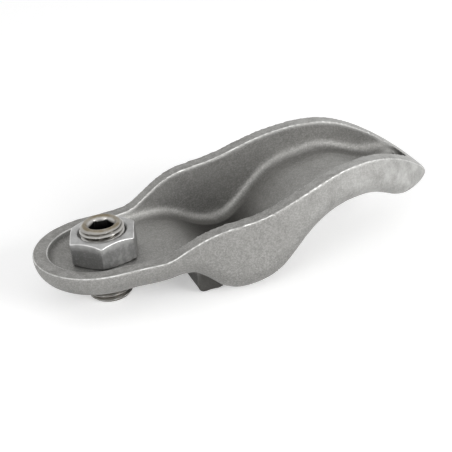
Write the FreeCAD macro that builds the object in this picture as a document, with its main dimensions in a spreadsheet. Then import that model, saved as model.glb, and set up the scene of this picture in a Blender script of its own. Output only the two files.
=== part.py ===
"""Channel-section rocker arm with its adjusting screw and lock nut.

Frame: origin at the crown of the saddle that rests on the fulcrum, +X towards the nose,
+Y across the arm along the fulcrum, +Z up. The screw's axis is parallel to Z.
All sizes are millimetres.
"""
import FreeCAD, Part
import Sketcher
import math
import os

V = FreeCAD.Vector

# Driving sizes, each written once: alias, value, what it is
SIZES = [
    # fulcrum seat block under the belly
    ("seat_radius", 10.0, "radius of the saddle and of the fulcrum under it"),
    ("seat_depth", 2.5, "depth of the saddle in the block"),
    ("seat_half_width", 13.8, "half the block's width across the arm"),
    ("seat_front", 12.6, "block face towards the screw, from the saddle"),
    ("seat_rear", 11.0, "block face towards the nose, from the saddle"),
    ("seat_corner", 2.5, "rounding of the block's lower cross edges"),
    ("seat_side_round", 1.6, "rounding of the block's lower side edges"),
    # reach of the two ends from the saddle
    ("screw_reach", 33.0, "saddle to screw axis"),
    ("tip_reach", 61.6, "saddle to the tip of the nose"),
    # outline seen from above: half widths of the outer face
    ("end_radius", 18.3, "round end about the screw"),
    ("end_setback", 0.9, "centre of the round end behind the screw axis"),
    ("neck_place", -23.0, "outline leaves the straight neck"),
    ("level_place", -25.0, "floor, rim and underside are level from here to the round end"),
    ("flare_place", -10.0, "outline control at the flare"),
    ("flare_half", 22.6, "half width control at the flare"),
    ("belly_place", 4.0, "outline control over the belly"),
    ("belly_half", 22.9, "half width control over the belly"),
    ("waist_place", 18.0, "outline control behind the belly"),
    ("waist_half", 22.3, "half width control behind the belly"),
    ("crown_place", 30.0, "outline control under the crest"),
    ("crown_half", 18.8, "half width control under the crest"),
    ("throat_place", 46.5, "where the cheeks turn in to the nose"),
    ("throat_half", 13.6, "half width at the throat"),
    ("throat_run", 7.0, "length of the tangent each side of the throat"),
    ("throat_fall", 3.7, "narrowing over that tangent"),
    ("toe_radius", 6.6, "round toe, seen from above"),
    ("toe_turn", 45.0, "half angle of the round toe, in degrees"),
    ("toe_ease", 3.6, "length of the tangent into the round toe"),
    # walls and pocket
    ("wall", 4.1, "cheek thickness, measured across the arm"),
    ("notch_reach", 55.3, "narrow end of the pocket, from the saddle"),
    ("notch_half", 3.0, "fullness of the pocket's narrow end"),
    ("pocket_round", 2.4, "fillet between floor and cheeks"),
    # rim line seen from the side: heights above the crown of the saddle
    ("rim_end", 12.3, "rim height round the nut"),
    ("rim_neck", 13.3, "rim control at the neck"),
    ("rim_shoulder", 19.5, "rim control at the shoulder"),
    ("rim_belly", 19.1, "rim control over the belly"),
    ("rim_waist", 22.9, "rim control behind the belly"),
    ("rim_crown", 26.0, "rim control before the crest"),
    ("rim_crest", 26.3, "rim control after the crest"),
    ("rim_throat", 21.9, "rim control at the throat"),
    ("rim_toe", 15.3, "rim control on the nose"),
    ("rim_tip", 9.6, "top of the tip"),
    # underside line seen from the side
    ("under_end", 4.8, "underside round the screw"),
    ("under_neck", 6.4, "underside control in front of the belly"),
    ("belly_front", -1.0, "belly control on the screw's side"),
    ("belly_low", -1.1, "lowest belly control"),
    ("belly_rear", 0.7, "belly control on the nose's side"),
    ("belly_rise", 7.4, "underside control where the belly rises"),
    ("under_waist", 12.6, "underside control behind the belly"),
    ("under_crown", 15.4, "underside control below the crest"),
    ("under_hollow", 14.7, "underside control at the hollow"),
    ("hoof_front", 8.2, "underside control in front of the hoof"),
    ("hoof_low", 8.3, "underside control at the hoof"),
    ("hoof_tip", 8.9, "underside of the tip"),
    ("under_round", 6.4, "rounding under the nut end and the belly"),
    ("throat_round", 4.0, "the same rounding at the throat"),
    ("toe_round", 3.5, "the same rounding round the toe"),
    # pocket floor line seen from the side
    ("floor_dip", 9.0, "floor control where the dip starts"),
    ("floor_front", 4.2, "floor control on the dip's screw side"),
    ("floor_low", 1.7, "lowest floor control"),
    ("floor_rear", 1.9, "floor control on the dip's nose side"),
    ("floor_rise", 7.6, "floor control where the dip rises"),
    ("floor_waist", 14.1, "floor control behind the belly"),
    ("floor_crown", 17.2, "floor control below the crest"),
    ("floor_crest", 19.0, "highest floor control"),
    ("floor_throat", 15.9, "floor control at the throat"),
    ("sill_front", 15.6, "floor control before the sill of the notch"),
    ("sill_top", 18.2, "floor control at the sill of the notch"),
    ("notch_floor", 12.9, "floor control past the sill"),
    ("notch_low", 10.9, "floor at the notch's end"),
    # nut and screw
    ("thread_diameter", 12.0, "outside diameter of the screw"),
    ("thread_clearance", 0.05, "radial running clearance on the screw"),
    ("nut_seat", 9.3, "flat floor that the nut sits on"),
    ("nut_flats", 17.0, "across the flats of the lock nut"),
    ("nut_height", 7.2, "height of the lock nut"),
    ("nut_face_diameter", 16.2, "flat top face inside the nut's chamfer"),
    ("nut_chamfer_angle", 30.0, "chamfer against the nut's top face, in degrees"),
    ("nut_mouth_diameter", 13.5, "countersink at the top of the nut's thread"),
    ("nut_turn", 12.3, "corner of the nut from +X, in degrees"),
    ("screw_stand", 2.4, "screw above the top of the nut"),
    ("screw_lead", 0.9, "chamfer on the screw's ends"),
    ("key_flats", 6.0, "across the flats of the hexagon socket"),
    ("key_depth", 6.5, "depth of the hexagon socket"),
    ("key_mouth_diameter", 7.8, "countersink of the socket"),
    ("key_turn", 49.0, "corner of the socket from +X, in degrees"),
]

# Places along the arm of the height controls between the two ends
RIM_PLACES = (-19.0, -8.0, 4.0, 15.0, 27.0, 38.0, 49.0, 57.0)
RIM_HEIGHTS = ("rim_neck", "rim_shoulder", "rim_belly",
               "rim_waist", "rim_crown", "rim_crest", "rim_throat", "rim_toe")
UNDER_PLACES = (-17.0, -12.0, -7.0, 1.0, 9.0, 15.0, 21.0, 31.0, 41.0, 48.0, 55.0)
UNDER_HEIGHTS = ("under_neck", "under_neck", "belly_front", "belly_low",
                 "belly_rear", "belly_rise", "under_waist", "under_crown",
                 "under_hollow", "hoof_front", "hoof_low")
FLOOR_PLACES = (-11.0, -5.0, 1.0, 7.0, 13.0, 19.0, 27.0, 36.0, 43.0, 48.0, 52.0, 55.0)
FLOOR_HEIGHTS = ("floor_dip", "floor_front", "floor_low",
                 "floor_rear", "floor_rise", "floor_waist", "floor_crown", "floor_crest",
                 "floor_throat", "sill_front", "sill_top", "notch_floor")

# How many strips the loft has along the flank, and round the toe and the notch
FLANK_STRIPS = 24
TOE_STRIPS = 5

doc = FreeCAD.newDocument("rocker_arm")
sheet = doc.addObject("Spreadsheet::Sheet", "sizes")
for row, (alias, value, note) in enumerate(SIZES, start=1):
    sheet.set("A%d" % row, note)
    sheet.set("B%d" % row, str(value))
    sheet.setAlias("B%d" % row, alias)
doc.recompute()


def number(expression):
    """The present value of an expression over the sheet's cells."""
    value = sheet.evalExpression(expression.replace("sizes.", ""))
    return float(getattr(value, "Value", value))


def plane(body, role):
    """One of the body's own origin planes."""
    return next(f for f in body.Origin.OriginFeatures if f.Role == role)


def new_body(name):
    return doc.addObject("PartDesign::Body", name)


def new_sketch(body, name, role="XY_Plane", height=None):
    """An empty sketch on one of the body's planes, raised by an expression."""
    sketch = body.newObject("Sketcher::SketchObject", name)
    sketch.AttachmentSupport = [(plane(body, role), "")]
    sketch.MapMode = "FlatFace"
    if height:
        sketch.setExpression("AttachmentOffset.Base.z", height)
    return sketch


def dimension(sketch, kind, *where_and_expression):
    """A driving dimension bound to an expression."""
    *where, expression = where_and_expression
    index = sketch.addConstraint(Sketcher.Constraint(kind, *where, number(expression)))
    sketch.setExpression("Constraints[%d]" % index, expression)


def add_spline(sketch, controls, follows=False):
    """A cubic spline whose control points are dimensioned by pairs of expressions.

    One that follows another edge takes its first point from the joint with that edge.
    """
    points = [V(number(x), number(y), 0) for x, y in controls]
    spans = len(points) - 3
    curve = Part.BSplineCurve()
    curve.buildFromPolesMultsKnots(points, [4] + [1] * (spans - 1) + [4],
                                   [k / spans for k in range(spans + 1)],
                                   False, 3, [1.0] * len(points))
    spline = sketch.addGeometry(curve, False)
    for index, (point, (x, y)) in enumerate(zip(points, controls)):
        pole = sketch.addGeometry(Part.Circle(point, V(0, 0, 1), 1.0), True)
        link = "InternalAlignment:Sketcher::BSplineControlPoint"
        sketch.addConstraint(Sketcher.Constraint(link, pole, 3, spline, index))
        sketch.addConstraint(Sketcher.Constraint("Weight", pole, 1.0))
        if follows and index == 0:
            continue
        dimension(sketch, "DistanceX", pole, 3, x)
        dimension(sketch, "DistanceY", pole, 3, y)
    return spline


def add_line(sketch, start, end):
    return sketch.addGeometry(Part.LineSegment(V(*start, 0), V(*end, 0)), False)


def join(sketch, *ends):
    """Each pair of (edge, end) points made one: 1 is an edge's start and 2 its end."""
    for first, first_end, second, second_end in ends:
        sketch.addConstraint(Sketcher.Constraint("Coincident", first, first_end, second, second_end))


def pad(body, sketch, length, midplane=False):
    feature = body.newObject("PartDesign::Pad", sketch.Name + "_pad")
    feature.Profile = sketch
    feature.Midplane = midplane
    feature.setExpression("Length", length)
    sketch.Visibility = False
    return feature


SCREW_X = "-sizes.screw_reach"
BORE_RADIUS = "(sizes.thread_diameter / 2 + sizes.thread_clearance)"
END_X = "(-sizes.screw_reach - sizes.end_setback)"
PRISM_TOP = "(sizes.rim_crest + 9)"
PAST_END = "(-sizes.screw_reach - sizes.end_setback - sizes.end_radius - 2)"
PAST_TIP = "(sizes.tip_reach + 1)"
BLOCK_FLOOR = "-sizes.seat_depth"


def boolean(kind, name, first, second):
    shape = doc.addObject(kind, name)
    shape.Base = first
    shape.Tool = second
    return shape


def common(name, first, second):
    return boolean("Part::Common", name, first, second)


def fuse(name, first, second):
    return boolean("Part::Fuse", name, first, second)


def cut(name, first, second):
    return boolean("Part::Cut", name, first, second)


def polygon(sketch, corners):
    """A closed ring of straight lines, each corner dimensioned by a pair of expressions."""
    points = [(number(x), number(y)) for x, y in corners]
    sides = [add_line(sketch, points[i], points[(i + 1) % len(points)]) for i in range(len(points))]
    join(sketch, *[(side, 2, sides[(i + 1) % len(sides)], 1) for i, side in enumerate(sides)])
    for side, (x, y) in zip(sides, corners):
        dimension(sketch, "DistanceX", side, 1, x)
        dimension(sketch, "DistanceY", side, 1, y)


def rectangle(sketch, low, high):
    polygon(sketch, [low, (high[0], low[1]), high, (low[0], high[1])])


def circle(sketch, radius):
    """A circle about the sketch's origin."""
    ring = sketch.addGeometry(Part.Circle(V(0, 0, 0), V(0, 0, 1), number(radius)), False)
    sketch.addConstraint(Sketcher.Constraint("Coincident", ring, 3, -1, 1))
    dimension(sketch, "Radius", ring, radius)


def hexagon(sketch, flats, turned):
    """A regular hexagon about the sketch's origin, by its size across flats and one corner's angle."""
    reach = "(%s / 2 / cos(30))" % flats
    angles = ["(%s + %d)" % (turned, 60 * k) for k in range(6)]
    polygon(sketch, [("%s * cos%s" % (reach, a), "%s * sin%s" % (reach, a)) for a in angles])


def turn(body, sketch):
    """A full turn of the section about the sketch's upright axis."""
    feature = body.newObject("PartDesign::Revolution", sketch.Name + "_turned")
    feature.Profile = sketch
    feature.ReferenceAxis = (sketch, ["V_Axis"])
    feature.Angle = 360
    sketch.Visibility = False
    return feature


def close_over(sketch, line):
    """The region above a height line, up past the top of everything."""
    spline = add_spline(sketch, line)
    first, last = [[number(e) for e in line[i]] for i in (0, -1)]
    start, top = number(PAST_END), number(PRISM_TOP)
    corners = [tuple(last), (last[0], top), (start, top), (start, first[1]), tuple(first)]
    right, roof, left, level = [add_line(sketch, corners[i], corners[i + 1]) for i in range(4)]
    join(sketch, (spline, 2, right, 1), (right, 2, roof, 1), (roof, 2, left, 1),
         (left, 2, level, 1), (level, 2, spline, 1))
    for side, kind in ((right, "Vertical"), (roof, "Horizontal"), (left, "Vertical"), (level, "Horizontal")):
        sketch.addConstraint(Sketcher.Constraint(kind, side))
    dimension(sketch, "DistanceY", roof, 1, PRISM_TOP)
    dimension(sketch, "DistanceX", left, 1, PAST_END)


def rounded(name, base, choose):
    """Fillets on the edges that a function gives a radius."""
    doc.recompute()
    feature = doc.addObject("Part::Fillet", name)
    feature.Base = base
    chosen = [(index, choose(edge)) for index, edge in enumerate(base.Shape.Edges, start=1)]
    feature.Edges = [(index, radius, radius) for index, radius in chosen if radius]
    return feature


def block_radius(edge):
    """Radius of the seat block's lower edges, across the arm and along its side."""
    point = edge.valueAt((edge.FirstParameter + edge.LastParameter) / 2)
    if abs(point.z - number(BLOCK_FLOOR)) > 1e-4 or abs(point.y) < 1e-4:
        return None
    along = abs(point.y - number("sizes.seat_half_width")) < 1e-4
    return number("sizes.seat_side_round" if along else "sizes.seat_corner")


def height_line(level, places, heights, end, last):
    """Control points of a height line that leaves its level run smoothly beside the screw."""
    controls = [("sizes.level_place", "sizes.%s" % level),
                ("sizes.neck_place + 2", "sizes.%s" % level)]
    controls += [(str(place), "sizes.%s" % height) for place, height in zip(places, heights)]
    return controls + [(end, "sizes.%s" % last)]


def curve_of(controls):
    """The cubic spline of some control points, laid flat."""
    points = [V(number(x), number(y), 0) for x, y in controls]
    spans = len(points) - 3
    curve = Part.BSplineCurve()
    curve.buildFromPolesMultsKnots(points, [4] + [1] * (spans - 1) + [4],
                                   [k / spans for k in range(spans + 1)],
                                   False, 3, [1.0] * len(points))
    return curve


def reading(curve, place):
    """The second coordinate of a flat curve where its first, which always grows, is the place."""
    low, high = curve.FirstParameter, curve.LastParameter
    for _ in range(50):
        middle = (low + high) / 2
        if curve.value(middle).x < place:
            low = middle
        else:
            high = middle
    return curve.value(low).y


def half_section(name, inner, outer, low, radius, top):
    """Half a channel section, upright, from a point of the middle line to one of the outline."""
    foot = V(inner[0], inner[1], low)
    along = V(outer[0], outer[1], low) - foot
    width = along.Length
    along.normalize()
    up = V(0, 0, 1)
    bend = foot + along * (width - radius)
    wall = foot + along * width + up * radius
    middle = bend + up * radius + (along - up) * (radius * math.sqrt(0.5))
    roof = V(outer[0], outer[1], top)
    ceiling = V(inner[0], inner[1], top)
    section = doc.addObject("Part::Feature", name)
    section.Shape = Part.Wire([Part.makeLine(foot, bend), Part.Arc(bend, middle, wall).toShape(),
                               Part.makeLine(wall, roof), Part.makeLine(roof, ceiling),
                               Part.makeLine(ceiling, foot)])
    section.Visibility = False
    return section


def loft(name, sections):
    solid = doc.addObject("Part::Loft", name)
    solid.Sections = sections
    solid.Solid = True
    solid.Ruled = True
    return solid


def swing(name, section, place, angle):
    """A section turned about the upright line through a point of the middle line."""
    solid = doc.addObject("Part::Revolution", name)
    solid.Source = section
    solid.Axis = V(0, 0, 1)
    solid.Base = V(place, 0, 0)
    solid.Angle = angle
    solid.Solid = True
    return solid


RIM_LINE = height_line("rim_end", RIM_PLACES, RIM_HEIGHTS, PAST_TIP, "rim_tip")
under_curve = curve_of(height_line("under_end", UNDER_PLACES, UNDER_HEIGHTS, PAST_TIP, "hoof_tip"))
floor_curve = curve_of(height_line("nut_seat", FLOOR_PLACES, FLOOR_HEIGHTS,
                                   "(sizes.notch_reach + 2)", "notch_low"))
TOE_X = "(sizes.tip_reach - sizes.toe_radius)"
TOE_ACROSS = "(sizes.toe_radius * sin(sizes.toe_turn))"
TOE_ALONG = "(sizes.toe_radius * cos(sizes.toe_turn))"
THROAT = [("sizes.throat_place", "sizes.throat_half"),
          ("sizes.throat_place + sizes.throat_run", "sizes.throat_half - sizes.throat_fall")]
toe_curve = curve_of(THROAT + [
    (TOE_X + " + " + TOE_ALONG + " - sizes.toe_ease * sin(sizes.toe_turn)",
     TOE_ACROSS + " + sizes.toe_ease * cos(sizes.toe_turn)"),
    (TOE_X + " + " + TOE_ALONG, TOE_ACROSS)])
notch_curve = curve_of([
    ("sizes.throat_place", "sizes.throat_half - sizes.wall"),
    ("sizes.throat_place + sizes.throat_run / 2", "sizes.throat_half - sizes.wall - sizes.throat_fall / 2"),
    ("sizes.notch_reach", "sizes.notch_half"),
    ("sizes.notch_reach", "0")])


def flank_curve(inset):
    """The outline from the round end to the throat, seen from above, moved in by the inset."""
    halves = [("sizes.flare_place", "sizes.flare_half"), ("sizes.belly_place", "sizes.belly_half"),
              ("sizes.waist_place", "sizes.waist_half"), ("sizes.crown_place", "sizes.crown_half"),
              ("sizes.throat_place - sizes.throat_run", "sizes.throat_half + sizes.throat_fall"),
              ("sizes.throat_place", "sizes.throat_half")]
    controls = [(END_X, "sizes.end_radius"), ("sizes.neck_place", "sizes.end_radius")] + halves
    return curve_of([(x, "%s - %s" % (y, inset)) for x, y in controls])


def level_then(curve, place):
    """A height curve's height, level before the curve starts."""
    return reading(curve, max(place, number("sizes.level_place")))


def stations(first, last, strips):
    """Evenly spaced places with both ends."""
    return [first + (last - first) * i / strips for i in range(strips + 1)]


def outer_sections():
    """Sections of the forging from the round end to the round toe."""
    flank = flank_curve("0")
    top, end, throat = number(PRISM_TOP) - 3, number(END_X), number("sizes.throat_place")
    belly, toe_place = number("sizes.belly_place"), number(TOE_X)
    full, narrow, toe = [number("sizes.%s" % n) for n in ("under_round", "throat_round", "toe_round")]
    sections = []
    for place in stations(end, throat, FLANK_STRIPS):
        share = min(1.0, max(0.0, (place - belly) / (throat - belly)))
        sections.append(half_section("flank_section", (place, 0), (place, reading(flank, place)),
                                     level_then(under_curve, place), full + (narrow - full) * share, top))
    for share in stations(0, 1, TOE_STRIPS)[1:]:
        point = toe_curve.value(share)
        foot = throat + (toe_place - throat) * share
        sections.append(half_section("toe_section", (foot, 0), (point.x, point.y),
                                     level_then(under_curve, point.x), narrow + (toe - narrow) * share, top))
    return sections


def pocket_sections():
    """Sections of the pocket from its round end to the narrow end of the notch."""
    flank = flank_curve("sizes.wall")
    top, end, throat = number(PRISM_TOP) - 2, number(END_X), number("sizes.throat_place")
    full = number("sizes.pocket_round")
    sections = []
    for place in stations(end, throat, FLANK_STRIPS):
        sections.append(half_section("pocket_section", (place, 0), (place, reading(flank, place)),
                                     level_then(floor_curve, place), full, top))
    for share in stations(0, 0.88, TOE_STRIPS)[1:]:
        point = notch_curve.value(share)
        sections.append(half_section("notch_section", (point.x, 0), (point.x, point.y),
                                     level_then(floor_curve, point.x), min(full, 0.6 * point.y), top))
    return sections


# Forging, one half: a turned round end, a flank lofted along the arm, and a turned toe
outer = outer_sections()
round_end = swing("round_end", outer[0], number(END_X), 90)
flank = loft("flank", outer)
toe = swing("toe", outer[-1], number(TOE_X), -number("sizes.toe_turn"))
end_and_flank = fuse("end_and_flank", round_end, flank)
forging = fuse("forging", end_and_flank, toe)

# Seat block under the belly, one half, with its lower edges rounded
block_body = new_body("seat_block")
block_outline = new_sketch(block_body, "block_outline", "YZ_Plane", "-sizes.seat_front")
rectangle(block_outline, ("0", BLOCK_FLOOR), ("sizes.seat_half_width", "sizes.nut_seat"))
pad(block_body, block_outline, "sizes.seat_front + sizes.seat_rear")
block = rounded("block", block_body, block_radius)

# Pocket, one half, made the same way: a turned round end, then a loft to the end of the notch
inner = pocket_sections()
pocket_end = swing("pocket_end", inner[0], number(END_X), 90)
pocket_run = loft("pocket_run", inner)
pocket = fuse("pocket", pocket_end, pocket_run)

# Everything above the rim line
over_rim = new_body("over_rim")
over_rim_profile = new_sketch(over_rim, "over_rim_profile", "XZ_Plane")
close_over(over_rim_profile, RIM_LINE)
pad(over_rim, over_rim_profile, "3 * sizes.belly_half", midplane=True)

# Half an arm, then both halves in one
half_solid = fuse("half_solid", forging, block)
half_channel = cut("half_channel", half_solid, pocket)
half_arm = cut("half_arm", half_channel, over_rim)
other_half = doc.addObject("Part::Mirroring", "other_half")
other_half.Source = half_arm
other_half.Normal = V(0, 1, 0)
whole_arm = fuse("whole_arm", half_arm, other_half)
whole_arm.Refine = True

# Saddle across the seat block, and the screw's bore through the nut's seat
saddle_body = new_body("saddle")
saddle_circle = new_sketch(saddle_body, "saddle_circle", "XZ_Plane")
circle(saddle_circle, "sizes.seat_radius")
pad(saddle_body, saddle_circle, "2 * sizes.seat_half_width", midplane=True)
saddle_body.setExpression("Placement.Base.z", "-sizes.seat_radius")
bore_body = new_body("bore")
bore_circle = new_sketch(bore_body, "bore_circle", "XY_Plane")
circle(bore_circle, BORE_RADIUS)
pad(bore_body, bore_circle, PRISM_TOP)
bore_body.setExpression("Placement.Base.x", SCREW_X)
seated_arm = cut("seated_arm", whole_arm, saddle_body)
rocker_arm = cut("rocker_arm", seated_arm, bore_body)

# Lock nut: a hexagon within a turned barrel that carries the chamfer, bore and countersink.
# Its lower face is plain: the corners reach down to the floor in the photo.
hexagon_body = new_body("hexagon")
hexagon_outline = new_sketch(hexagon_body, "hexagon_outline", "XY_Plane", "sizes.nut_seat")
hexagon(hexagon_outline, "sizes.nut_flats", "sizes.nut_turn")
pad(hexagon_body, hexagon_outline, "sizes.nut_height")
hexagon_body.setExpression("Placement.Base.x", SCREW_X)
barrel_body = new_body("barrel")
barrel_section = new_sketch(barrel_body, "barrel_section", "XZ_Plane")
NUT_TOP = "(sizes.nut_seat + sizes.nut_height)"
FACE = "(sizes.nut_face_diameter / 2)"
CORNER = "(sizes.nut_flats / 2 / cos(30) + 1)"
DROP = "((sizes.nut_flats / 2 / cos(30) + 1 - sizes.nut_face_diameter / 2) * tan(sizes.nut_chamfer_angle))"
MOUTH = "(sizes.nut_mouth_diameter / 2)"
SINK = "(sizes.nut_mouth_diameter / 2 - sizes.thread_diameter / 2 - sizes.thread_clearance)"
polygon(barrel_section, [(BORE_RADIUS, "sizes.nut_seat"),
                         (CORNER, "sizes.nut_seat"),
                         (CORNER, NUT_TOP + " - " + DROP),
                         (FACE, NUT_TOP),
                         (MOUTH, NUT_TOP),
                         (BORE_RADIUS, NUT_TOP + " - " + SINK)])
turn(barrel_body, barrel_section)
barrel_body.setExpression("Placement.Base.x", SCREW_X)
lock_nut = common("lock_nut", hexagon_body, barrel_body)

# Adjusting screw: a turned stud with a hexagon socket in its top end
adjusting_screw = new_body("adjusting_screw")
stud_section = new_sketch(adjusting_screw, "stud_section", "XZ_Plane")
SCREW_TOP = "(sizes.nut_seat + sizes.nut_height + sizes.screw_stand)"
SCREW_RADIUS = "(sizes.thread_diameter / 2)"
LEAD_RADIUS = "(sizes.thread_diameter / 2 - sizes.screw_lead)"
KEY_MOUTH = "(sizes.key_mouth_diameter / 2)"
KEY_SINK = "(sizes.key_mouth_diameter / 2 - sizes.key_flats / 2)"
polygon(stud_section, [("0", BLOCK_FLOOR),
                       (LEAD_RADIUS, BLOCK_FLOOR),
                       (SCREW_RADIUS, BLOCK_FLOOR + " + sizes.screw_lead"),
                       (SCREW_RADIUS, SCREW_TOP + " - sizes.screw_lead"),
                       (LEAD_RADIUS, SCREW_TOP),
                       (KEY_MOUTH, SCREW_TOP),
                       ("sizes.key_flats / 2", SCREW_TOP + " - " + KEY_SINK),
                       ("0", SCREW_TOP + " - " + KEY_SINK)])
turn(adjusting_screw, stud_section)
key_outline = new_sketch(adjusting_screw, "key_outline", "XY_Plane", SCREW_TOP)
hexagon(key_outline, "sizes.key_flats", "sizes.key_turn")
key_socket = adjusting_screw.newObject("PartDesign::Pocket", "key_socket")
key_socket.Profile = key_outline
key_socket.setExpression("Length", "sizes.key_depth")
adjusting_screw.setExpression("Placement.Base.x", SCREW_X)

doc.recompute()

PIECES = {"rocker_arm": rocker_arm, "lock_nut": lock_nut, "adjusting_screw": adjusting_screw}
for item in doc.Objects:
    if "Invalid" in item.State or "Error" in item.State:
        raise RuntimeError("%s is in state %s" % (item.Label, item.State))
    solid = item.TypeId.startswith(("Part::", "PartDesign::"))
    if solid and (item.Shape.isNull() or not item.Shape.isValid()):
        raise RuntimeError("%s has no sound shape" % item.Label)
for name, piece in PIECES.items():
    if len(piece.Shape.Solids) != 1:
        raise RuntimeError("%s is %d solids" % (name, len(piece.Shape.Solids)))
    box = piece.Shape.BoundBox
    print("%-16s %8.1f mm3  X %6.1f %6.1f  Y %6.1f %6.1f  Z %6.1f %6.1f"
          % (name, piece.Shape.Volume, box.XMin, box.XMax, box.YMin, box.YMax, box.ZMin, box.ZMax))

os.makedirs("parts", exist_ok=True)
for name, piece in PIECES.items():
    piece.Label = name
    piece.Shape.exportStep("parts/%s.step" % name)
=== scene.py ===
"""Dresses the rocker arm, its adjusting screw and its lock nut, and sets the stage for them.

The lengths in the code are metres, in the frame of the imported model.
"""

import math

import bmesh
import bpy
import numpy as np
from bpy.props import FloatProperty, FloatVectorProperty, IntProperty, PointerProperty
from bpy.types import Operator, Panel, PropertyGroup
from mathutils import Matrix, Vector, noise
from mathutils.bvhtree import BVHTree
from mathutils.kdtree import KDTree


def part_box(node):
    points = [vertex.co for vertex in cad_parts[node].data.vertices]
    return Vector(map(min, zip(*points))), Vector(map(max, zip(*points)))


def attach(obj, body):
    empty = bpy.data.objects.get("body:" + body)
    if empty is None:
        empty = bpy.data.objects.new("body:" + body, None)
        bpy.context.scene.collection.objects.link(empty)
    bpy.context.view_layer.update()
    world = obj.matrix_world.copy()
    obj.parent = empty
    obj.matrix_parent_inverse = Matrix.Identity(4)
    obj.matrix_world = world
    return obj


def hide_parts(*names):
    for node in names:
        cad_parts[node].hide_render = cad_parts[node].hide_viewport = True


bl_info = {
    "name": "Rocker arm finish",
    "version": (1, 0, 0),
    "blender": (4, 5, 0),
    "location": "3D View > Sidebar > Rocker arm",
    "description": "Forged rocker arm with a threaded adjusting screw and a lock nut",
    "category": "Object",
}

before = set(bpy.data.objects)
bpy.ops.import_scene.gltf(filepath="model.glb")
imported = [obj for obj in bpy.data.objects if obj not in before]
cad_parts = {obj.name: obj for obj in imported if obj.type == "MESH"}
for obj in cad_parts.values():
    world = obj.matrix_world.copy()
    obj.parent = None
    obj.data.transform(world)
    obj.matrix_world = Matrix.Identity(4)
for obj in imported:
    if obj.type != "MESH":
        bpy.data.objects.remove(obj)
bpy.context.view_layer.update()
SCREW_LOW, SCREW_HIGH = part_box("adjusting_screw")
NUT_LOW, NUT_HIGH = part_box("lock_nut")
SCREW_AXIS = Vector((round((SCREW_LOW.x + SCREW_HIGH.x) / 2, 5), 0, 0))
FLOOR_HEIGHT = SCREW_LOW.z

# Noise cells in a metre, for grains of about a millimetre
GRAINS = 700.0


# Trees of nodes written as expressions

class Value:
    """What a node gives, for use in an expression."""

    def __init__(self, tree, socket):
        self.tree = tree
        self.socket = socket

    def maths(self, operation, *others):
        return self.tree.maths(operation, self, *others)

    def __add__(self, other):
        return self.maths("ADD", other)

    __radd__ = __add__

    def __sub__(self, other):
        return self.maths("SUBTRACT", other)

    def __rsub__(self, other):
        return self.tree.maths("SUBTRACT", other, self)

    def __mul__(self, other):
        return self.maths("MULTIPLY", other)

    __rmul__ = __mul__

    def __truediv__(self, other):
        return self.maths("DIVIDE", other)

    def least(self, other):
        return self.maths("MINIMUM", other)

    def most(self, other):
        return self.maths("MAXIMUM", other)

    def share(self, low, high):
        """0 at low, 1 at high, and held there."""
        return self.tree.maths("DIVIDE", self - low, high - low, clamp=True)


class Tree:
    """A node tree that is filled one node at a time."""

    def __init__(self, tree):
        self.tree = tree

    def put(self, socket, value):
        """Links a value to a socket or sets it there. A colour is given as three numbers."""
        if isinstance(value, Value):
            self.tree.links.new(value.socket, socket)
        elif socket.type == "RGBA":
            socket.default_value = (*value, 1.0)
        else:
            socket.default_value = value

    def node(self, kind, settings=None, output=0, **sockets):
        """A node of a type: its settings first, then the values or links of its sockets.

        A socket goes by its own name or, after an underscore, by its number.
        """
        made = self.tree.nodes.new(kind)
        for name, value in (settings or {}).items():
            setattr(made, name, value)
        for name, value in sockets.items():
            key = int(name[1:]) if name[0] == "_" else name.replace("_", " ")
            self.put(made.inputs[key], value)
        return Value(self, made.outputs[output])

    def maths(self, operation, *values, clamp=False):
        sockets = {"_%d" % index: value for index, value in enumerate(values)}
        return self.node("ShaderNodeMath", {"operation": operation, "use_clamp": clamp}, **sockets)

    def mix(self, share, first, second):
        """Two colours mixed by a share. Sockets 0, 6 and 7 and result 2 are those of a mix of colours."""
        return self.node("ShaderNodeMix", {"data_type": "RGBA"}, output=2, _0=share, _6=first, _7=second)

    def axis(self, name, vector):
        """One of a vector's three numbers."""
        return self.node("ShaderNodeSeparateXYZ", output=name, Vector=vector)


class Finish(Tree):
    """A material built on one main shader."""

    def __init__(self, name, **fixed):
        self.material = bpy.data.materials.new(name)
        self.material.use_nodes = True
        super().__init__(self.material.node_tree)
        self.shader = self.tree.nodes["Principled BSDF"]
        self.place = self.node("ShaderNodeTexCoord", output="Object")
        for socket, value in fixed.items():
            self.shader.inputs[socket.replace("_", " ")].default_value = value

    def noise(self, size, detail=2.0, roughness=0.5, shift=0.0):
        """Grey noise whose grains are about the size given in millimetres."""
        place = self.node("ShaderNodeMapping", Vector=self.place, Location=(shift, shift * 0.7, shift * 0.3))
        return self.node("ShaderNodeTexNoise", Vector=place, Scale=GRAINS / size,
                         Detail=detail, Roughness=roughness)

    def scratches(self, width, length, slant):
        """Sparse streaks, a width across and a length along in millimetres, slanting to the x axis."""
        turns = (slant * 0.6, slant, slant * 0.4)
        turned = self.node("ShaderNodeMapping", Vector=self.place, Rotation=turns)
        drawn = self.node("ShaderNodeMapping", Vector=turned, Scale=(width / length, 1.0, 1.0))
        streaks = self.node("ShaderNodeTexNoise", Vector=drawn, Scale=GRAINS / width, Detail=1.0)
        return streaks.share(0.68, 0.74)

    def attribute(self, name):
        return self.node("ShaderNodeAttribute", {"attribute_name": name}, output="Fac")

    def bumps(self, height, depth, strength=1.0):
        """The relief of a height from 0 to 1 that is so many millimetres deep."""
        relief = self.node("ShaderNodeBump", Height=height, Distance=depth / 1000.0, Strength=strength)
        self.put(self.shader.inputs["Normal"], relief)

    def feed(self, **sockets):
        for name, value in sockets.items():
            self.put(self.shader.inputs[name.replace("_", " ")], value)


def shade(colour, factor):
    """A colour made darker or lighter, up to white."""
    return tuple(min(1.0, part * factor) for part in colour)


# Sizes and colours that a user would change

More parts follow.
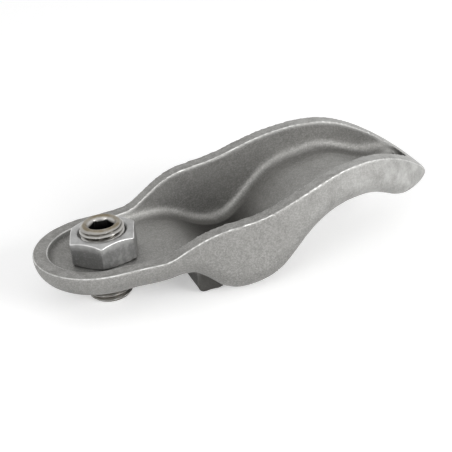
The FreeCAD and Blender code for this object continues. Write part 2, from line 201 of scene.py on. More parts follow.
class ArmSettings(PropertyGroup):
    grain: FloatProperty(name="Mesh grain", description="Size of the faces of the forging's skin",
                         default=0.00042, min=0.0003, max=0.002, unit="LENGTH", precision=5)
    easing: IntProperty(name="Edge easing", description="How often the skin is eased, which rounds edges",
                        default=14, min=0, max=60)
    skin_easing: IntProperty(name="Skin easing", description="How often the skin away from edges is eased",
                             default=6, min=0, max=60)
    crisp: FloatProperty(name="Crisp width", description="How near a sharp edge the skin is left as it is",
                         default=0.0008, min=0.0001, max=0.003, unit="LENGTH", precision=5)
    tip_easing: IntProperty(name="Tip easing", description="How often the nose's tip is eased further",
                            default=30, min=0, max=200)
    tip_length: FloatProperty(name="Tip length", description="Length of the nose's tip that is eased further",
                              default=0.004, min=0.001, max=0.02, unit="LENGTH", precision=5)
    waviness: FloatProperty(name="Waviness", description="Depth of the forging's unevenness",
                            default=0.00010, min=0.0, max=0.001, unit="LENGTH", precision=5)
    colour: FloatVectorProperty(name="Blasted steel", description="Colour of the blasted skin",
                                default=(0.262, 0.259, 0.249), subtype="COLOR", min=0, max=1)
    # Also the colour of painted highlights in inner corners and on the walls under the rim
    rubbed_and_highlight: FloatVectorProperty(name="Rubbed steel", description="Colour where edges are rubbed bright",
                              default=(0.62, 0.62, 0.605), subtype="COLOR", min=0, max=1)
    # Also the colour of painted shade: in sheltered places, on the seat block and in the notch
    grime_and_shade: FloatVectorProperty(name="Hollows", description="Colour where the hollows keep their scale",
                               default=(0.105, 0.101, 0.094), subtype="COLOR", min=0, max=1)


class ScrewSettings(PropertyGroup):
    pitch: FloatProperty(name="Pitch", description="Rise of the thread in one turn",
                         default=0.00125, min=0.0005, max=0.003, unit="LENGTH", precision=5)
    depth: FloatProperty(name="Thread depth", description="From crest to root",
                         default=0.00068, min=0.0001, max=0.002, unit="LENGTH", precision=5)
    lead: FloatProperty(name="Lead", description="Chamfer at each end of the screw",
                        default=0.0009, min=0.0001, max=0.003, unit="LENGTH", precision=5)
    crown: FloatProperty(name="Crown", description="Height of the rounding on the ring round the socket",
                         default=0.0004, min=0.0, max=0.001, unit="LENGTH", precision=5)
    around: IntProperty(name="Faces around", description="Faces round the screw",
                        default=120, min=24, max=240)
    key_flats: FloatProperty(name="Key", description="Across the flats of the hexagon socket",
                             default=0.006, min=0.003, max=0.009, unit="LENGTH", precision=5)
    key_depth: FloatProperty(name="Key depth", description="Depth of the hexagon socket",
                             default=0.0065, min=0.001, max=0.015, unit="LENGTH", precision=5)
    key_mouth: FloatProperty(name="Key mouth", description="Diameter of the socket's countersink",
                             default=0.0078, min=0.006, max=0.010, unit="LENGTH", precision=5)
    key_turn: FloatProperty(name="Key turn", description="Angle of one corner of the socket",
                            default=math.radians(49), subtype="ANGLE")
    colour: FloatVectorProperty(name="Steel", description="Colour of the machined steel",
                                default=(0.47, 0.46, 0.44), subtype="COLOR", min=0, max=1)
    # Also the base of the painted shade in the thread roots
    browned: FloatVectorProperty(name="Browning", description="Colour where the steel has browned",
                                 default=(0.20, 0.168, 0.118), subtype="COLOR", min=0, max=1)


class NutSettings(PropertyGroup):
    flats: FloatProperty(name="Flats", description="Across the flats of the nut",
                         default=0.017, min=0.013, max=0.024, unit="LENGTH", precision=5)
    turn: FloatProperty(name="Turn", description="Angle of one corner of the nut",
                        default=math.radians(12.3), subtype="ANGLE")
    face: FloatProperty(name="Face", description="Diameter of the flat face inside the chamfer",
                        default=0.0162, min=0.012, max=0.02, unit="LENGTH", precision=5)
    mouth: FloatProperty(name="Mouth", description="Diameter of the thread's countersink",
                         default=0.0135, min=0.0121, max=0.016, unit="LENGTH", precision=5)
    bore: FloatProperty(name="Bore", description="Diameter of the threaded bore",
                        default=0.0121, min=0.0121, max=0.014, unit="LENGTH", precision=5)
    chamfer: FloatProperty(name="Chamfer", description="Slope of the chamfer against the face",
                           default=math.radians(30), subtype="ANGLE")
    colour: FloatVectorProperty(name="Zinc", description="Colour of the dull zinc",
                                default=(0.43, 0.43, 0.425), subtype="COLOR", min=0, max=1)
    rubbed: FloatVectorProperty(name="Rubbed zinc", description="Colour of edges that spanners have rubbed",
                                default=(0.75, 0.75, 0.74), subtype="COLOR", min=0, max=1)
    # Also the base of the painted shade on the nut's sides
    dull: FloatVectorProperty(name="Dulled zinc", description="Colour where the zinc has dulled",
                              default=(0.25, 0.25, 0.247), subtype="COLOR", min=0, max=1)


class StageSettings(PropertyGroup):
    floor: FloatVectorProperty(name="Floor", description="Colour of the floor",
                               default=(0.86, 0.86, 0.86), subtype="COLOR", min=0, max=1)
    level: FloatProperty(name="Light level", description="How bright the lamps are together",
                         default=1.0, min=0.0, max=10.0, subtype="FACTOR")


# Meshes

def mesh_of(name, vertices, faces):
    mesh = bpy.data.meshes.new(name)
    mesh.from_pydata(vertices, [], faces)
    mesh.validate()
    return mesh


def dress(mesh, material, smooth=True):
    """Gives a mesh its finish, and faces that look smooth or flat."""
    mesh.materials.clear()
    mesh.materials.append(material)
    mesh.polygons.foreach_set("use_smooth", [smooth] * len(mesh.polygons))


def shown(name, mesh, material, smooth=True):
    """A piece with its mesh in place and its finish on."""
    piece = bpy.data.objects.new(name, mesh)
    bpy.context.scene.collection.objects.link(piece)
    dress(mesh, material, smooth)
    return piece


def plain_mesh(piece):
    """The piece's mesh with its modifiers turned into plain geometry."""
    evaluated = piece.evaluated_get(bpy.context.evaluated_depsgraph_get())
    return bpy.data.meshes.new_from_object(evaluated)


def rings(around, rows, low=None, high=None):
    """Faces between rings of points, each row given by a function of the angle, and its end caps."""
    vertices, faces = [], []
    for row in rows:
        vertices += [row(2 * math.pi * step / around) for step in range(around)]
    for ring in range(len(rows) - 1):
        start = ring * around
        for step in range(around):
            after = (step + 1) % around
            faces.append((start + step, start + after, start + around + after, start + around + step))
    if low is not None:
        vertices.append(low)
        faces += [((step + 1) % around, step, len(vertices) - 1) for step in range(around)]
    if high is not None:
        vertices.append(high)
        start = (len(rows) - 1) * around
        faces += [(start + step, start + (step + 1) % around, len(vertices) - 1) for step in range(around)]
    return vertices, faces


def hexagon_reach(flats, corner, angle, sharpness=90.0):
    """Distance from the middle to a hexagon's outline, its corners a little eased."""
    total = 0.0
    for side in range(6):
        toward = math.cos(angle - corner - math.radians(30 + 60 * side))
        total += max(toward, 0.0) ** sharpness
    return flats / 2 / total ** (1 / sharpness)


def row_of(radius_of, height_of):
    """A row of points about the screw's axis whose radius and height change with the angle."""
    def point(angle):
        radius = radius_of(angle)
        return (SCREW_AXIS.x + radius * math.cos(angle), radius * math.sin(angle), height_of(angle, radius))
    return point


def at(radius, height):
    """A round row of points about the screw's axis."""
    return row_of(lambda angle: radius, lambda angle, reach: height)


def vectors(items, name):
    """One vector of each item, as rows of an array."""
    flat = np.empty(len(items) * 3, np.float32)
    items.foreach_get(name, flat)
    return flat.reshape(-1, 3).astype(float)


def neighbour_mean(mesh):
    """A function that averages a field of vertex vectors over each vertex's neighbours."""
    count = len(mesh.vertices)
    edges = np.empty(len(mesh.edges) * 2, np.int32)
    mesh.edges.foreach_get("vertices", edges)
    first, second = edges.reshape(-1, 2).T
    degree = np.bincount(first, minlength=count) + np.bincount(second, minlength=count)

    def mean(field):
        columns = [np.bincount(first, column[second], count) + np.bincount(second, column[first], count)
                   for column in field.T]
        return np.array(columns).T / degree[:, None]
    return mean


def keep(mesh, name, field):
    """Keeps one number for each vertex, which the finishes read by its name."""
    layer = mesh.attributes.new(name, "FLOAT", "POINT")
    layer.data.foreach_set("value", np.array(field, np.float32))


def keep_curvature(mesh, rounds, evening, reach):
    """Keeps, for each vertex, how far edges stand out and how far hollows go in, from 0 to 1."""
    place, normal = vectors(mesh.vertices, "co"), vectors(mesh.vertex_normals, "vector")
    mean = neighbour_mean(mesh)
    blurred = place
    for _ in range(rounds):
        blurred = (blurred + mean(blurred)) / 2
    outward = ((place - blurred) * normal).sum(axis=1, keepdims=True)
    for _ in range(evening):
        outward = (outward + mean(outward)) / 2
    keep(mesh, "ridge", np.clip(outward[:, 0] / reach, 0, 1))
    keep(mesh, "hollow", np.clip(-outward[:, 0] / reach, 0, 1))


def even_ways(count):
    """Directions spread evenly all round."""
    turn = math.pi * (3 - math.sqrt(5))
    ways = []
    for step in range(count):
        height = 1 - 2 * (step + 0.5) / count
        flat = math.sqrt(1 - height * height)
        ways.append(Vector((flat * math.cos(turn * step), flat * math.sin(turn * step), height)))
    return ways


def keep_shelter(mesh, reach, rays=36, lift=0.0003, least_facing=0.05):
    """Keeps, for each vertex, how much of what it faces is the piece itself, from 0 to 1.

    Rays start a little above the skin, and those that only graze it don't count.
    """
    place, normal = vectors(mesh.vertices, "co"), vectors(mesh.vertex_normals, "vector")
    skin = BVHTree.FromPolygons(place.tolist(), [tuple(face.vertices) for face in mesh.polygons])
    ways = even_ways(rays)
    facing = normal @ np.array(ways).T
    blocked, total = np.zeros(len(place)), np.zeros(len(place))
    starts = [Vector(p) for p in place + normal * lift]
    for number, way in enumerate(ways):
        for index in np.nonzero(facing[:, number] > least_facing)[0]:
            weight = facing[index, number]
            total[index] += weight
            if skin.ray_cast(starts[index], way, reach)[0] is not None:
                blocked[index] += weight
    keep(mesh, "shelter", blocked / np.maximum(total, 1e-6))


def sharp_edge_points(work, least_angle, step):
    """Points along the edges of an open bmesh that stand out sharply."""
    points = []
    for edge in work.edges:
        if len(edge.link_faces) == 2 and edge.calc_face_angle_signed(0) > least_angle:
            start, end = (vertex.co.copy() for vertex in edge.verts)
            count = max(1, int((end - start).length / step))
            points += [start.lerp(end, number / count) for number in range(count + 1)]
    return points


def ease(place, mean, rounds, share):
    """Moves each point a share of the way to the middle of its neighbours, so many times."""
    for _ in range(rounds):
        place += (mean(place) - place) * share


def distances(places, points):
    """How far each place is from the nearest of some points."""
    tree = KDTree(len(points))
    for index, point in enumerate(points):
        tree.insert(point, index)
    tree.balance()
    return np.array([tree.find(place)[2] for place in places])


# Finishes

def blasted_steel(settings):
    """Grit-blasted forging, rubbed bright at its edges and lighter toward its nose, with painted shade where
    it is sheltered and painted highlights in its inner corners.
    """
    finish = Finish("blasted_steel", Metallic=1.0)
    grit = finish.noise(0.32, detail=4.0, roughness=0.75)
    coarse = finish.noise(1.2, detail=2.0, shift=0.3)
    cloud = finish.noise(7.0, detail=3.0, shift=0.7)
    smear = finish.noise(3.0, detail=5.0, roughness=0.65, shift=0.5)
    edge = finish.attribute("ridge")
    hollow = finish.attribute("hollow")
    shelter = finish.attribute("shelter")
    gap = finish.attribute("edge_gap")
    up = finish.attribute("up")
    along = finish.axis("X", finish.place)
    side = finish.axis("Y", finish.place).maths("ABSOLUTE")
    height = finish.axis("Z", finish.place)
    rubbed_and_highlight, grime_and_shade = settings.rubbed_and_highlight, settings.grime_and_shade

    # The blasted skin: clouds, pale grit and dirt, dirt on the rim's top, and painted shade in sheltered
    # places, most where they face up
    tone = finish.mix(cloud.share(0.3, 0.7) * 0.45, settings.colour, shade(settings.colour, 0.72))
    tone = finish.mix(grit.share(0.42, 0.62) * 0.6, tone, shade(settings.colour, 1.6))
    tone = finish.mix(coarse.share(0.5, 0.7) * 0.12, tone, grime_and_shade)
    rim = (1 - gap.share(1.4, 2.6)) * up
    tone = finish.mix(rim * coarse.share(0.42, 0.6) * 0.25, tone, grime_and_shade)
    # Painted shade: darker where the piece shelters itself, most on faces that look up
    tone = finish.mix(shelter.share(0.12, 0.75) * (0.04 + 0.66 * up), tone, grime_and_shade)

    # Painted highlights in the inner corners and on the walls just under the rim; rubbed bright: scratches
    # and sharp edges
    # Painted highlight along the inner corners
    tone = finish.mix(hollow.share(0.35, 0.8) * 0.85, tone, rubbed_and_highlight)
    # Painted highlight: a band on the walls just under the rim
    band = (1 - gap.share(0.2, 1.4)) * (1 - up) * shelter.share(0.1, 0.25)
    tone = finish.mix(band * 0.5, tone, rubbed_and_highlight)
    scratch = finish.scratches(0.35, 5.0, 0.5).most(finish.scratches(0.3, 4.0, -0.9))
    tone = finish.mix(scratch * (0.05 + 0.3 * cloud.share(0.5, 0.7)), tone, rubbed_and_highlight)
    line = 1 - gap.share(0.14, 0.46)
    rub = line * (0.9 + 0.4 * cloud.share(0.35, 0.65)) + edge * 0.25 + 0.9 * (coarse - 0.5)
    rub = rub.share(0.35, 1.0)
    tone = finish.mix(rub, tone, rubbed_and_highlight)

    # The nose is lighter; painted shade darkens the seat block under the arm and the bottom of the notch
    nose = along.share(0.010, 0.050) * (1 - shelter.share(0.0, 0.3))
    tone = finish.mix(nose * (0.12 + 0.5 * smear.share(0.35, 0.65)), tone, rubbed_and_highlight)
    # Painted shade, darker toward the bottom of the seat block
    seat = (1 - height.share(0.0030, 0.0085)) * (1 - side.share(0.0142, 0.0152))
    tone = finish.mix(seat * 0.85, tone, shade(grime_and_shade, 0.5))
    # Painted shade in the deep narrow end of the notch
    notch = along.share(0.0465, 0.0510) * (1 - side.share(0.0035, 0.0060)) * shelter.share(0.16, 0.34)
    tone = finish.mix(notch * 0.8, tone, shade(grime_and_shade, 0.5))
    rough = 0.5 + 0.14 * grit - 0.12 * rub - 0.08 * hollow
    finish.feed(Base_Color=tone, Roughness=rough)
    finish.bumps(grit * 0.6 + coarse * 0.4, 0.14, 0.9)
    return finish.material


def machined_steel(settings):
    """Turned screw steel: fine marks round the axis, a browned ring, and painted shade in the thread roots
    and the socket.
    """
    finish = Finish("machined_steel", Metallic=1.0)
    cloud = finish.noise(1.6, detail=3.0, shift=0.4)
    grit = finish.noise(0.3, detail=2.0)
    height = finish.axis("Z", finish.place)
    lines = finish.node("ShaderNodeTexNoise", {"noise_dimensions": "1D"}, W=height, Scale=9000.0, Detail=2.0)
    spot = finish.node("ShaderNodeMapping", Vector=finish.place, Location=tuple(-SCREW_AXIS))
    flat = finish.node("ShaderNodeVectorMath", {"operation": "MULTIPLY"}, _0=spot, _1=(1.0, 1.0, 0.0))
    reach = finish.node("ShaderNodeVectorMath", {"operation": "LENGTH"}, output="Value", _0=flat)
    tone = finish.mix(grit.share(0.5, 0.75) * 0.3, settings.colour, shade(settings.colour, 0.6))
    top = height.share(SCREW_HIGH.z - 0.0010, SCREW_HIGH.z - 0.0005)
    ring = top * reach.share(0.0036, 0.0040) * (1 - reach.share(0.0050, 0.0054))
    tone = finish.mix(ring * (0.62 + 0.38 * cloud.share(0.35, 0.6)), tone, settings.browned)
    # Painted shade in the thread roots, a darkened browning
    root = (1 - reach.share(0.0053, 0.0058)) * (1 - top) * reach.share(0.0046, 0.0049)
    tone = finish.mix(root * 0.85, tone, shade(settings.browned, 0.25))
    # Painted shade: the socket nearly black below its mouth
    socket = (1 - reach.share(0.0037, 0.0039)) * height.share(SCREW_LOW.z + 0.002, SCREW_LOW.z + 0.003)
    socket = socket * (1 - height.share(SCREW_HIGH.z - 0.0013, SCREW_HIGH.z - 0.0008))
    tone = finish.mix(socket * 0.93, tone, (0.012, 0.011, 0.010))
    finish.feed(Base_Color=tone, Roughness=0.2 + 0.12 * cloud + 0.1 * grit)
    finish.bumps(lines * 0.5 + grit * 0.5, 0.03, 0.6)
    return finish.material


def dull_zinc(settings):
    """Dull zinc on a hexagon: softly mottled, its sides darkened by painted shade and lightened toward the
    nose by painted light, its edges rubbed bright.
    """
    finish = Finish("dull_zinc", Metallic=1.0)
    cloud = finish.noise(3.2, detail=4.0, roughness=0.6, shift=0.9)
    grit = finish.noise(0.4, detail=3.0)
    smear = finish.noise(1.2, detail=2.0, shift=0.2)
    edge = finish.attribute("edge")
    flats = 1 - finish.axis("Z", finish.place).share(NUT_HIGH.z - 0.0024, NUT_HIGH.z - 0.0008)
    noseward = finish.axis("X", finish.place).share(SCREW_AXIS.x - 0.0045, SCREW_AXIS.x + 0.0015)
    tone = finish.mix(cloud.share(0.38, 0.62) * 0.6, settings.colour, settings.dull)
    # Painted shade: the sides darker than the top face
    tone = finish.mix(flats * 0.68, tone, shade(settings.dull, 0.64))
    # Painted light: the sides lighter toward the nose
    tone = finish.mix(flats * noseward * (0.25 + 0.5 * smear.share(0.45, 0.6)), tone, settings.colour)
    tone = finish.mix(grit.share(0.5, 0.7) * 0.25, tone, shade(settings.colour, 1.3))
    tone = finish.mix(edge * (0.45 + 0.5 * smear.share(0.35, 0.6)), tone, settings.rubbed)
    finish.feed(Base_Color=tone, Roughness=0.30 + 0.14 * cloud + 0.12 * grit + 0.09 * flats)
    finish.bumps(grit * 0.6 + smear * 0.4, 0.05, 0.7)
    return finish.material


# Pieces

def thread_tree():
    """Geometry nodes: a round wall whose radius follows a right-hand thread between two chamfered ends."""
    tree = bpy.data.node_groups.new("thread_wall", "GeometryNodeTree")
    build = Tree(tree)
    tree.interface.new_socket("Geometry", in_out="OUTPUT", socket_type="NodeSocketGeometry")
    for name in ("Radius", "Depth", "Pitch", "Lead", "Length", "Low", "Axis"):
        tree.interface.new_socket(name, in_out="INPUT", socket_type="NodeSocketFloat")
    for name in ("Around", "Rows"):
        tree.interface.new_socket(name, in_out="INPUT", socket_type="NodeSocketInt")
    tree.interface.new_socket("Finish", in_out="INPUT", socket_type="NodeSocketMaterial")
    given = tree.nodes.new("NodeGroupInput")
    taken = {socket.name: Value(build, socket) for socket in given.outputs if socket.name}
    grid = build.node("GeometryNodeMeshGrid", Size_X=1.0, Size_Y=1.0,
                      Vertices_X=taken["Around"], Vertices_Y=taken["Rows"])
    spot = build.node("GeometryNodeInputPosition")
    across = build.axis("X", spot) + 0.5
    along = (build.axis("Y", spot) + 0.5) * taken["Length"]
    phase = (along / taken["Pitch"] - across).maths("FRACT")
    from_crest = 1 - (phase * 2 - 1).maths("ABSOLUTE")
    # The crest and the root are narrow flats, and a straight flank joins them
    wall = taken["Radius"] - taken["Depth"] * from_crest.share(0.14, 0.78)
    start = taken["Radius"] - taken["Lead"]
    wall = wall.least(start + along).least(start + taken["Length"] - along)
    angle = across * (2 * math.pi)
    point = build.node("ShaderNodeCombineXYZ", X=wall * angle.maths("COSINE") + taken["Axis"],
                       Y=wall * angle.maths("SINE"), Z=along + taken["Low"])
    placed = build.node("GeometryNodeSetPosition", Geometry=grid, Position=point)
    closed = build.node("GeometryNodeMergeByDistance", Geometry=placed, Distance=1e-6)
    real = build.node("GeometryNodeRealizeInstances", Geometry=closed)
    dressed = build.node("GeometryNodeSetMaterial", Geometry=real, Material=taken["Finish"])
    out = tree.nodes.new("NodeGroupOutput")
    build.put(out.inputs["Geometry"], dressed)
    return tree


class ROCKER_OT_arm(Operator):
    """Gives the forging an eased, slightly wavy skin with rubbed edges"""
    bl_idname = "rocker.arm"
    bl_label = "Forged arm"

    def execute(self, context):
        settings = context.scene.rocker_arm_settings
        finish = blasted_steel(settings)
        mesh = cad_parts["rocker_arm"].data.copy()
        work = bmesh.new()
        work.from_mesh(mesh)
        bmesh.ops.remove_doubles(work, verts=work.verts, dist=1e-7)
        sharp = sharp_edge_points(work, least_angle=math.radians(35), step=0.0002)
        work.to_mesh(mesh)
        work.free()
        arm = shown("forged_arm", mesh, finish)
        skin = arm.modifiers.new("skin", "REMESH")
        skin.mode = "VOXEL"
        skin.voxel_size = settings.grain
        skin.use_smooth_shade = True
        finished = plain_mesh(arm)
        arm.modifiers.clear()
        arm.data = finished
        place, normal = vectors(finished.vertices, "co"), vectors(finished.vertex_normals, "vector")
        mean = neighbour_mean(finished)
        # Each easing goes in and nearly as far back out, so that the skin keeps its size
        for _ in range(settings.easing):
            ease(place, mean, 1, 0.5)
            ease(place, mean, 1, -0.46)
        gap = distances(place, sharp)
        apart = np.clip((gap - settings.crisp) / settings.crisp, 0, 1)
        ease(place, mean, settings.skin_easing, apart[:, None])
        tip_start = place[:, 0].max() - settings.tip_length
        tip = np.clip((place[:, 0] - tip_start) / settings.tip_length, 0, 1)
        ease(place, mean, settings.tip_easing, tip[:, None])
        # The skin sinks in waves, so many to a metre, and never rises, so the arm stays within its size
        broad, fine = 95.0, 260.0
        wave = [noise.noise(Vector(p) * broad) + 0.5 * noise.noise(Vector(p) * fine) for p in place]
        sunk = settings.waviness * np.maximum(0.0, 0.5 + np.array(wave))
        place -= normal * sunk[:, None]
        place[:, 2] = np.maximum(place[:, 2], FLOOR_HEIGHT)
        finished.vertices.foreach_set("co", place.ravel())
        finished.update()
        keep_curvature(finished, rounds=4, evening=3, reach=0.000095)
        keep_shelter(finished, reach=0.035)
        keep(finished, "edge_gap", gap * 1000)
        keep(finished, "up", np.clip(vectors(finished.vertex_normals, "vector")[:, 2], 0, 1) ** 2)
        dress(finished, finish)
        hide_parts("rocker_arm")
        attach(arm, "arm")
        return {"FINISHED"}


class ROCKER_OT_screw(Operator):
    """Makes the adjusting screw with its thread, chamfered ends and hexagon socket"""
    bl_idname = "rocker.screw"
    bl_label = "Adjusting screw"

    def execute(self, context):
        settings = context.scene.rocker_screw_settings
        finish = machined_steel(settings)
        radius = (SCREW_HIGH.y - SCREW_LOW.y) / 2
        length = SCREW_HIGH.z - SCREW_LOW.z - settings.crown
        rows_a_turn = 11
        holder = shown("adjusting_screw_threaded", bpy.data.meshes.new("thread"), finish)
        wall = holder.modifiers.new("thread", "NODES")
        wall.node_group = thread_tree()
        sizes = {"Radius": radius, "Depth": settings.depth, "Pitch": settings.pitch, "Lead": settings.lead,
                 "Length": length, "Low": SCREW_LOW.z, "Axis": SCREW_AXIS.x, "Finish": finish,
                 "Around": settings.around + 1, "Rows": int(length / settings.pitch * rows_a_turn)}
        for socket in wall.node_group.interface.items_tree:
            if socket.in_out == "INPUT":
                wall[socket.identifier] = sizes[socket.name]
        thread = plain_mesh(holder)
        holder.modifiers.clear()
        end = radius - settings.lead
        mouth = settings.key_mouth / 2
        crest = (end + mouth) / 2
        half_ring = (end - mouth) / 2
        top = SCREW_HIGH.z
        eased, hair = 0.00006, 0.00002
        drill_radius, drill_start, drill_depth = 0.0016, 0.0006, 0.0011

        def key_reach(angle):
            return hexagon_reach(settings.key_flats, settings.key_turn, angle, sharpness=200.0)

        def wall_reach(angle):
            return min(key_reach(angle), mouth - hair)

        def crown_height(reach):
            """The end's ring is rounded: highest at its middle, lower by the crown at its rims."""
            return top - settings.crown * ((reach - crest) / half_ring) ** 2

        def mouth_height(angle, reach):
            return crown_height(mouth) - (mouth - min(reach, mouth))

        # From the chamfer over the rounded ring into the socket, down its wall and to its drilled foot
        key_floor = top - settings.key_depth
        rows = [at(reach, crown_height(reach)) for reach in np.linspace(end, mouth, 9).tolist()]
        rows += [row_of(lambda a: min(key_reach(a) + eased, mouth), mouth_height),
                 row_of(wall_reach, lambda a, r: mouth_height(a, r) - eased - hair),
                 row_of(wall_reach, lambda a, r: key_floor),
                 at(settings.key_flats * 0.465, key_floor - hair),
                 at(drill_radius, key_floor - drill_start)]
        vertices, faces = rings(settings.around, rows, high=(SCREW_AXIS.x, 0, key_floor - drill_depth))
        socket_end = mesh_of("socket_end", vertices, faces)
        foot_rows = [at(end * 0.9, SCREW_LOW.z), at(end, SCREW_LOW.z)]
        vertices, faces = rings(settings.around, foot_rows, low=(SCREW_AXIS.x, 0, SCREW_LOW.z))
        foot = mesh_of("foot", vertices, faces)
        work = bmesh.new()
        for part in (thread, socket_end, foot):
            work.from_mesh(part)
        bmesh.ops.remove_doubles(work, verts=work.verts, dist=2e-6)
        bmesh.ops.recalc_face_normals(work, faces=work.faces)
        for edge in work.edges:
            edge.smooth = len(edge.link_faces) < 2 or edge.calc_face_angle(0) < math.radians(32)
        whole = bpy.data.meshes.new("adjusting_screw_threaded")
        work.to_mesh(whole)
        work.free()
        dress(whole, finish)
        holder.data = whole
        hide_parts("adjusting_screw")
        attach(holder, "screw")
        return {"FINISHED"}


class ROCKER_OT_nut(Operator):
    """Makes the lock nut with its eased corners, chamfer and countersink"""
    bl_idname = "rocker.nut"
    bl_label = "Lock nut"

    def execute(self, context):
        settings = context.scene.rocker_nut_settings
        around = 240
        low, top = NUT_LOW.z, NUT_HIGH.z
        face, mouth, bore = settings.face / 2, settings.mouth / 2, settings.bore / 2
        slope = math.tan(settings.chamfer)
        rounding = 0.00022

        def side(angle):
            return hexagon_reach(settings.flats, settings.turn, angle)

        def fall(radius):
            """Depth of the chamfer below the flat face, their meeting eased."""
            drop = (radius - face) * slope
            return (drop + math.sqrt(drop * drop + rounding * rounding / 4)) / 2

        def shoulder(angle):
            """Where the chamfer ends and the rounding into the side begins."""
            return max(side(angle) - rounding, face)

        def chamfered(share):
            return lambda angle: face + (shoulder(angle) - face) * share

        def eased(turn):
            return lambda angle: shoulder(angle) + (side(angle) - shoulder(angle)) * math.sin(turn)

        def under_top(angle, radius):
            return top - fall(radius)

        def over_foot(angle, radius):
            return low + fall(radius) * 0.6

        def side_height(share):
            """Height on the side, from its foot to its top."""
            def height(angle, radius):
                foot = over_foot(angle, shoulder(angle)) + rounding
                head = under_top(angle, shoulder(angle)) - rounding
                return foot + (head - foot) * share
            return height

        def rounded_top(turn):
            return lambda angle, radius: under_top(angle, shoulder(angle)) - rounding * (1 - math.cos(turn))

        def rounded_foot(turn):
            return lambda angle, radius: over_foot(angle, shoulder(angle)) + rounding * (1 - math.cos(turn))

        # Up the bore and over the countersink, whose lip is eased by hundredths of a millimetre, then out
        # over the face, down the side and in under the foot
        rows = [at(bore, low + 0.00005), at(bore, low + 0.003), at(bore, top - (mouth - bore)),
                at(mouth - 0.00004, top - 0.00008), at(mouth + 0.00006, top - 0.00001)]
        rows += [row_of(lambda angle, reach=reach: reach, under_top)
                 for reach in (mouth + (face - mouth) * share for share in (0.2, 0.4, 0.6, 0.8, 0.92, 1.0))]
        rows += [row_of(chamfered(share), under_top)
                 for share in (0.1, 0.2, 0.32, 0.45, 0.6, 0.75, 0.88, 0.95)]
        bends = [math.radians(angle) for angle in (27, 54, 76, 90)]
        first_side = len(rows)
        rows += [row_of(eased(turn), rounded_top(turn)) for turn in bends]
        rows += [row_of(side, side_height(share)) for share in (0.7, 0.4, 0.15, 0.0)]
        last_side = len(rows)
        rows += [row_of(eased(turn), rounded_foot(turn)) for turn in reversed(bends[:-1])]
        rows += [row_of(chamfered(share), over_foot) for share in (0.9, 0.6, 0.3, 0.0)]
        rows += [at(bore + 0.0004, low), at(bore, low + 0.00005)]
        vertices, faces = rings(around, rows)
        mesh = mesh_of("nut_rows", vertices, faces)

        # How much each point is rubbed bright: the rims all round, and the corners up and down
        rim = {first_side + step: share for step, share in enumerate((0.9, 1.0, 0.9, 0.4))}
        rim.update({first_side - 1: 0.5, last_side: 0.3})
        sixth, corner_width = math.radians(60), math.radians(1.8)
        rubbed = []
        for row in range(len(rows)):
            for step in range(around):
                angle = 2 * math.pi * step / around - settings.turn
                off = abs((angle + sixth / 2) % sixth - sixth / 2)
                upright = max(0.0, 1 - off / corner_width) * 0.3 if first_side <= row <= last_side else 0.0
                rubbed.append(max(upright, rim.get(row, 0.0)))
        keep(mesh, "edge", rubbed)
        work = bmesh.new()
        work.from_mesh(mesh)
        bmesh.ops.remove_doubles(work, verts=work.verts, dist=1e-6)
        bmesh.ops.recalc_face_normals(work, faces=work.faces)
        work.to_mesh(mesh)
        work.free()
        nut = shown("lock_nut_eased", mesh, dull_zinc(settings))
        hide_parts("lock_nut")
        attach(nut, "nut")
        return {"FINISHED"}


def soft_lamp(name, place, target, size, power):
    """A square of soft light that faces a point."""
    lamp = bpy.data.lights.new(name, "AREA")
    lamp.shape = "RECTANGLE"
    lamp.size, lamp.size_y = size
    lamp.energy = power
    holder = bpy.data.objects.new(name, lamp)
    holder.location = place
    holder.rotation_euler = (Vector(target) - Vector(place)).to_track_quat("-Z", "Y").to_euler()
    bpy.context.scene.collection.objects.link(holder)


def seen_directly(tree):
    """1 for what the camera sees at once, in a reflection or through glass."""
    ways = [tree.node("ShaderNodeLightPath", output=name)
            for name in ("Is Camera Ray", "Is Glossy Ray", "Is Transmission Ray")]
    return ways[0].most(ways[1]).most(ways[2])


def floor_finish(settings):
    """The pale floor. Where it is seen directly it is lifted toward white, and it keeps the shadow."""
    cover = Finish("pale_floor", Roughness=0.9, Emission_Strength=1.0)
    tone = cover.mix(cover.noise(2.0) * 0.05, settings.floor, shade(settings.floor, 0.95))
    lift = cover.mix(seen_directly(cover), (0.0, 0.0, 0.0), (0.37, 0.37, 0.37))
    cover.feed(Base_Color=tone, Emission_Color=lift)
    return cover.material


def surroundings():
    """A world that is white where it is seen directly and gives half of that as light."""
    world = bpy.data.worlds.new("surroundings")
    world.use_nodes = True
    tree = Tree(world.node_tree)
    background = world.node_tree.nodes["Background"]
    tree.put(background.inputs["Color"], (1.0, 1.0, 1.0))
    tree.put(background.inputs["Strength"], 0.5 + 0.5 * seen_directly(tree))
    return world


def photo_camera():
    """The camera that was recovered from the photograph, its focal length given in pixels."""
    place, target = Vector((-0.10614, -0.34645, 0.19509)), Vector((0.00113, 0, 0.0083))
    roll, focal_pixels, photo_pixels = math.radians(-6.4825), 1500, 452
    camera = bpy.data.cameras.new("photo_view")
    camera.sensor_width = 36.0
    camera.lens = camera.sensor_width * focal_pixels / photo_pixels
    camera.clip_start = 0.01
    holder = bpy.data.objects.new("photo_view", camera)
    look = (target - place).to_track_quat("-Z", "Y").to_matrix()
    turned = look @ Matrix.Rotation(roll, 3, "Z")
    holder.matrix_world = Matrix.Translation(place) @ turned.to_4x4()
    bpy.context.scene.collection.objects.link(holder)
    return holder


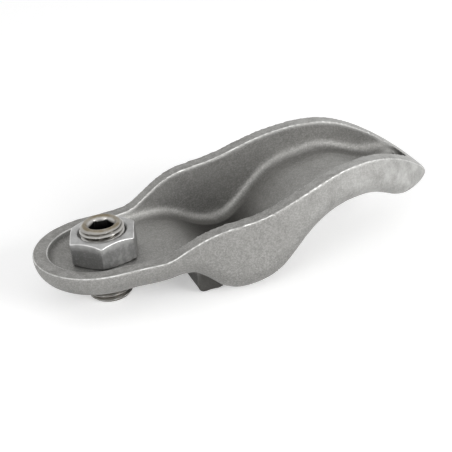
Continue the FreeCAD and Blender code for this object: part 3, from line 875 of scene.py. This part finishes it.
class ROCKER_OT_stage(Operator):
    """Sets the floor, the soft lamps, the white surroundings and the camera"""
    bl_idname = "rocker.stage"
    bl_label = "Stage"

    def execute(self, context):
        settings = context.scene.rocker_stage_settings
        scene = context.scene
        scene.view_settings.view_transform = "Standard"
        half = 3.0
        corners = ((-half, -half), (half, -half), (half, half), (-half, half))
        ground = mesh_of("floor", [(x, y, FLOOR_HEIGHT) for x, y in corners], [(0, 1, 2, 3)])
        floor = shown("floor", ground, floor_finish(settings), smooth=False)
        level = settings.level
        middle = (0, 0, 0.01)
        soft_lamp("key", (0.50, -0.78, 0.34), middle, size=(0.5, 0.4), power=6.5 * level)
        soft_lamp("fill", (-0.60, -0.55, 0.45), (0.02, 0, 0.01), size=(0.4, 0.4), power=2.2 * level)
        soft_lamp("back", (0.1, 0.5, 0.9), middle, size=(0.6, 0.4), power=0.1 * level)
        scene.world = surroundings()
        scene.camera = photo_camera()
        return {"FINISHED"}


STEPS = ((ROCKER_OT_arm, "rocker_arm_settings", ArmSettings),
         (ROCKER_OT_screw, "rocker_screw_settings", ScrewSettings),
         (ROCKER_OT_nut, "rocker_nut_settings", NutSettings),
         (ROCKER_OT_stage, "rocker_stage_settings", StageSettings))


class ROCKER_PT_panel(Panel):
    """The settings and the steps in order"""
    bl_label = "Rocker arm"
    bl_idname = "ROCKER_PT_panel"
    bl_space_type = "VIEW_3D"
    bl_region_type = "UI"
    bl_category = "Rocker arm"

    def draw(self, context):
        for step, place, group in STEPS:
            box = self.layout.box()
            for name in group.__annotations__:
                box.prop(getattr(context.scene, place), name)
            box.operator(step.bl_idname)


CLASSES = [group for _, _, group in STEPS] + [step for step, _, _ in STEPS] + [ROCKER_PT_panel]


def register():
    for item in CLASSES:
        bpy.utils.register_class(item)
    for _, place, group in STEPS:
        setattr(bpy.types.Scene, place, PointerProperty(type=group))


def unregister():
    for _, place, _ in STEPS:
        delattr(bpy.types.Scene, place)
    for item in reversed(CLASSES):
        bpy.utils.unregister_class(item)


def main():
    register()
    bpy.ops.rocker.arm()
    bpy.ops.rocker.screw()
    bpy.ops.rocker.nut()
    bpy.ops.rocker.stage()


if __name__ == "__main__":
    main()
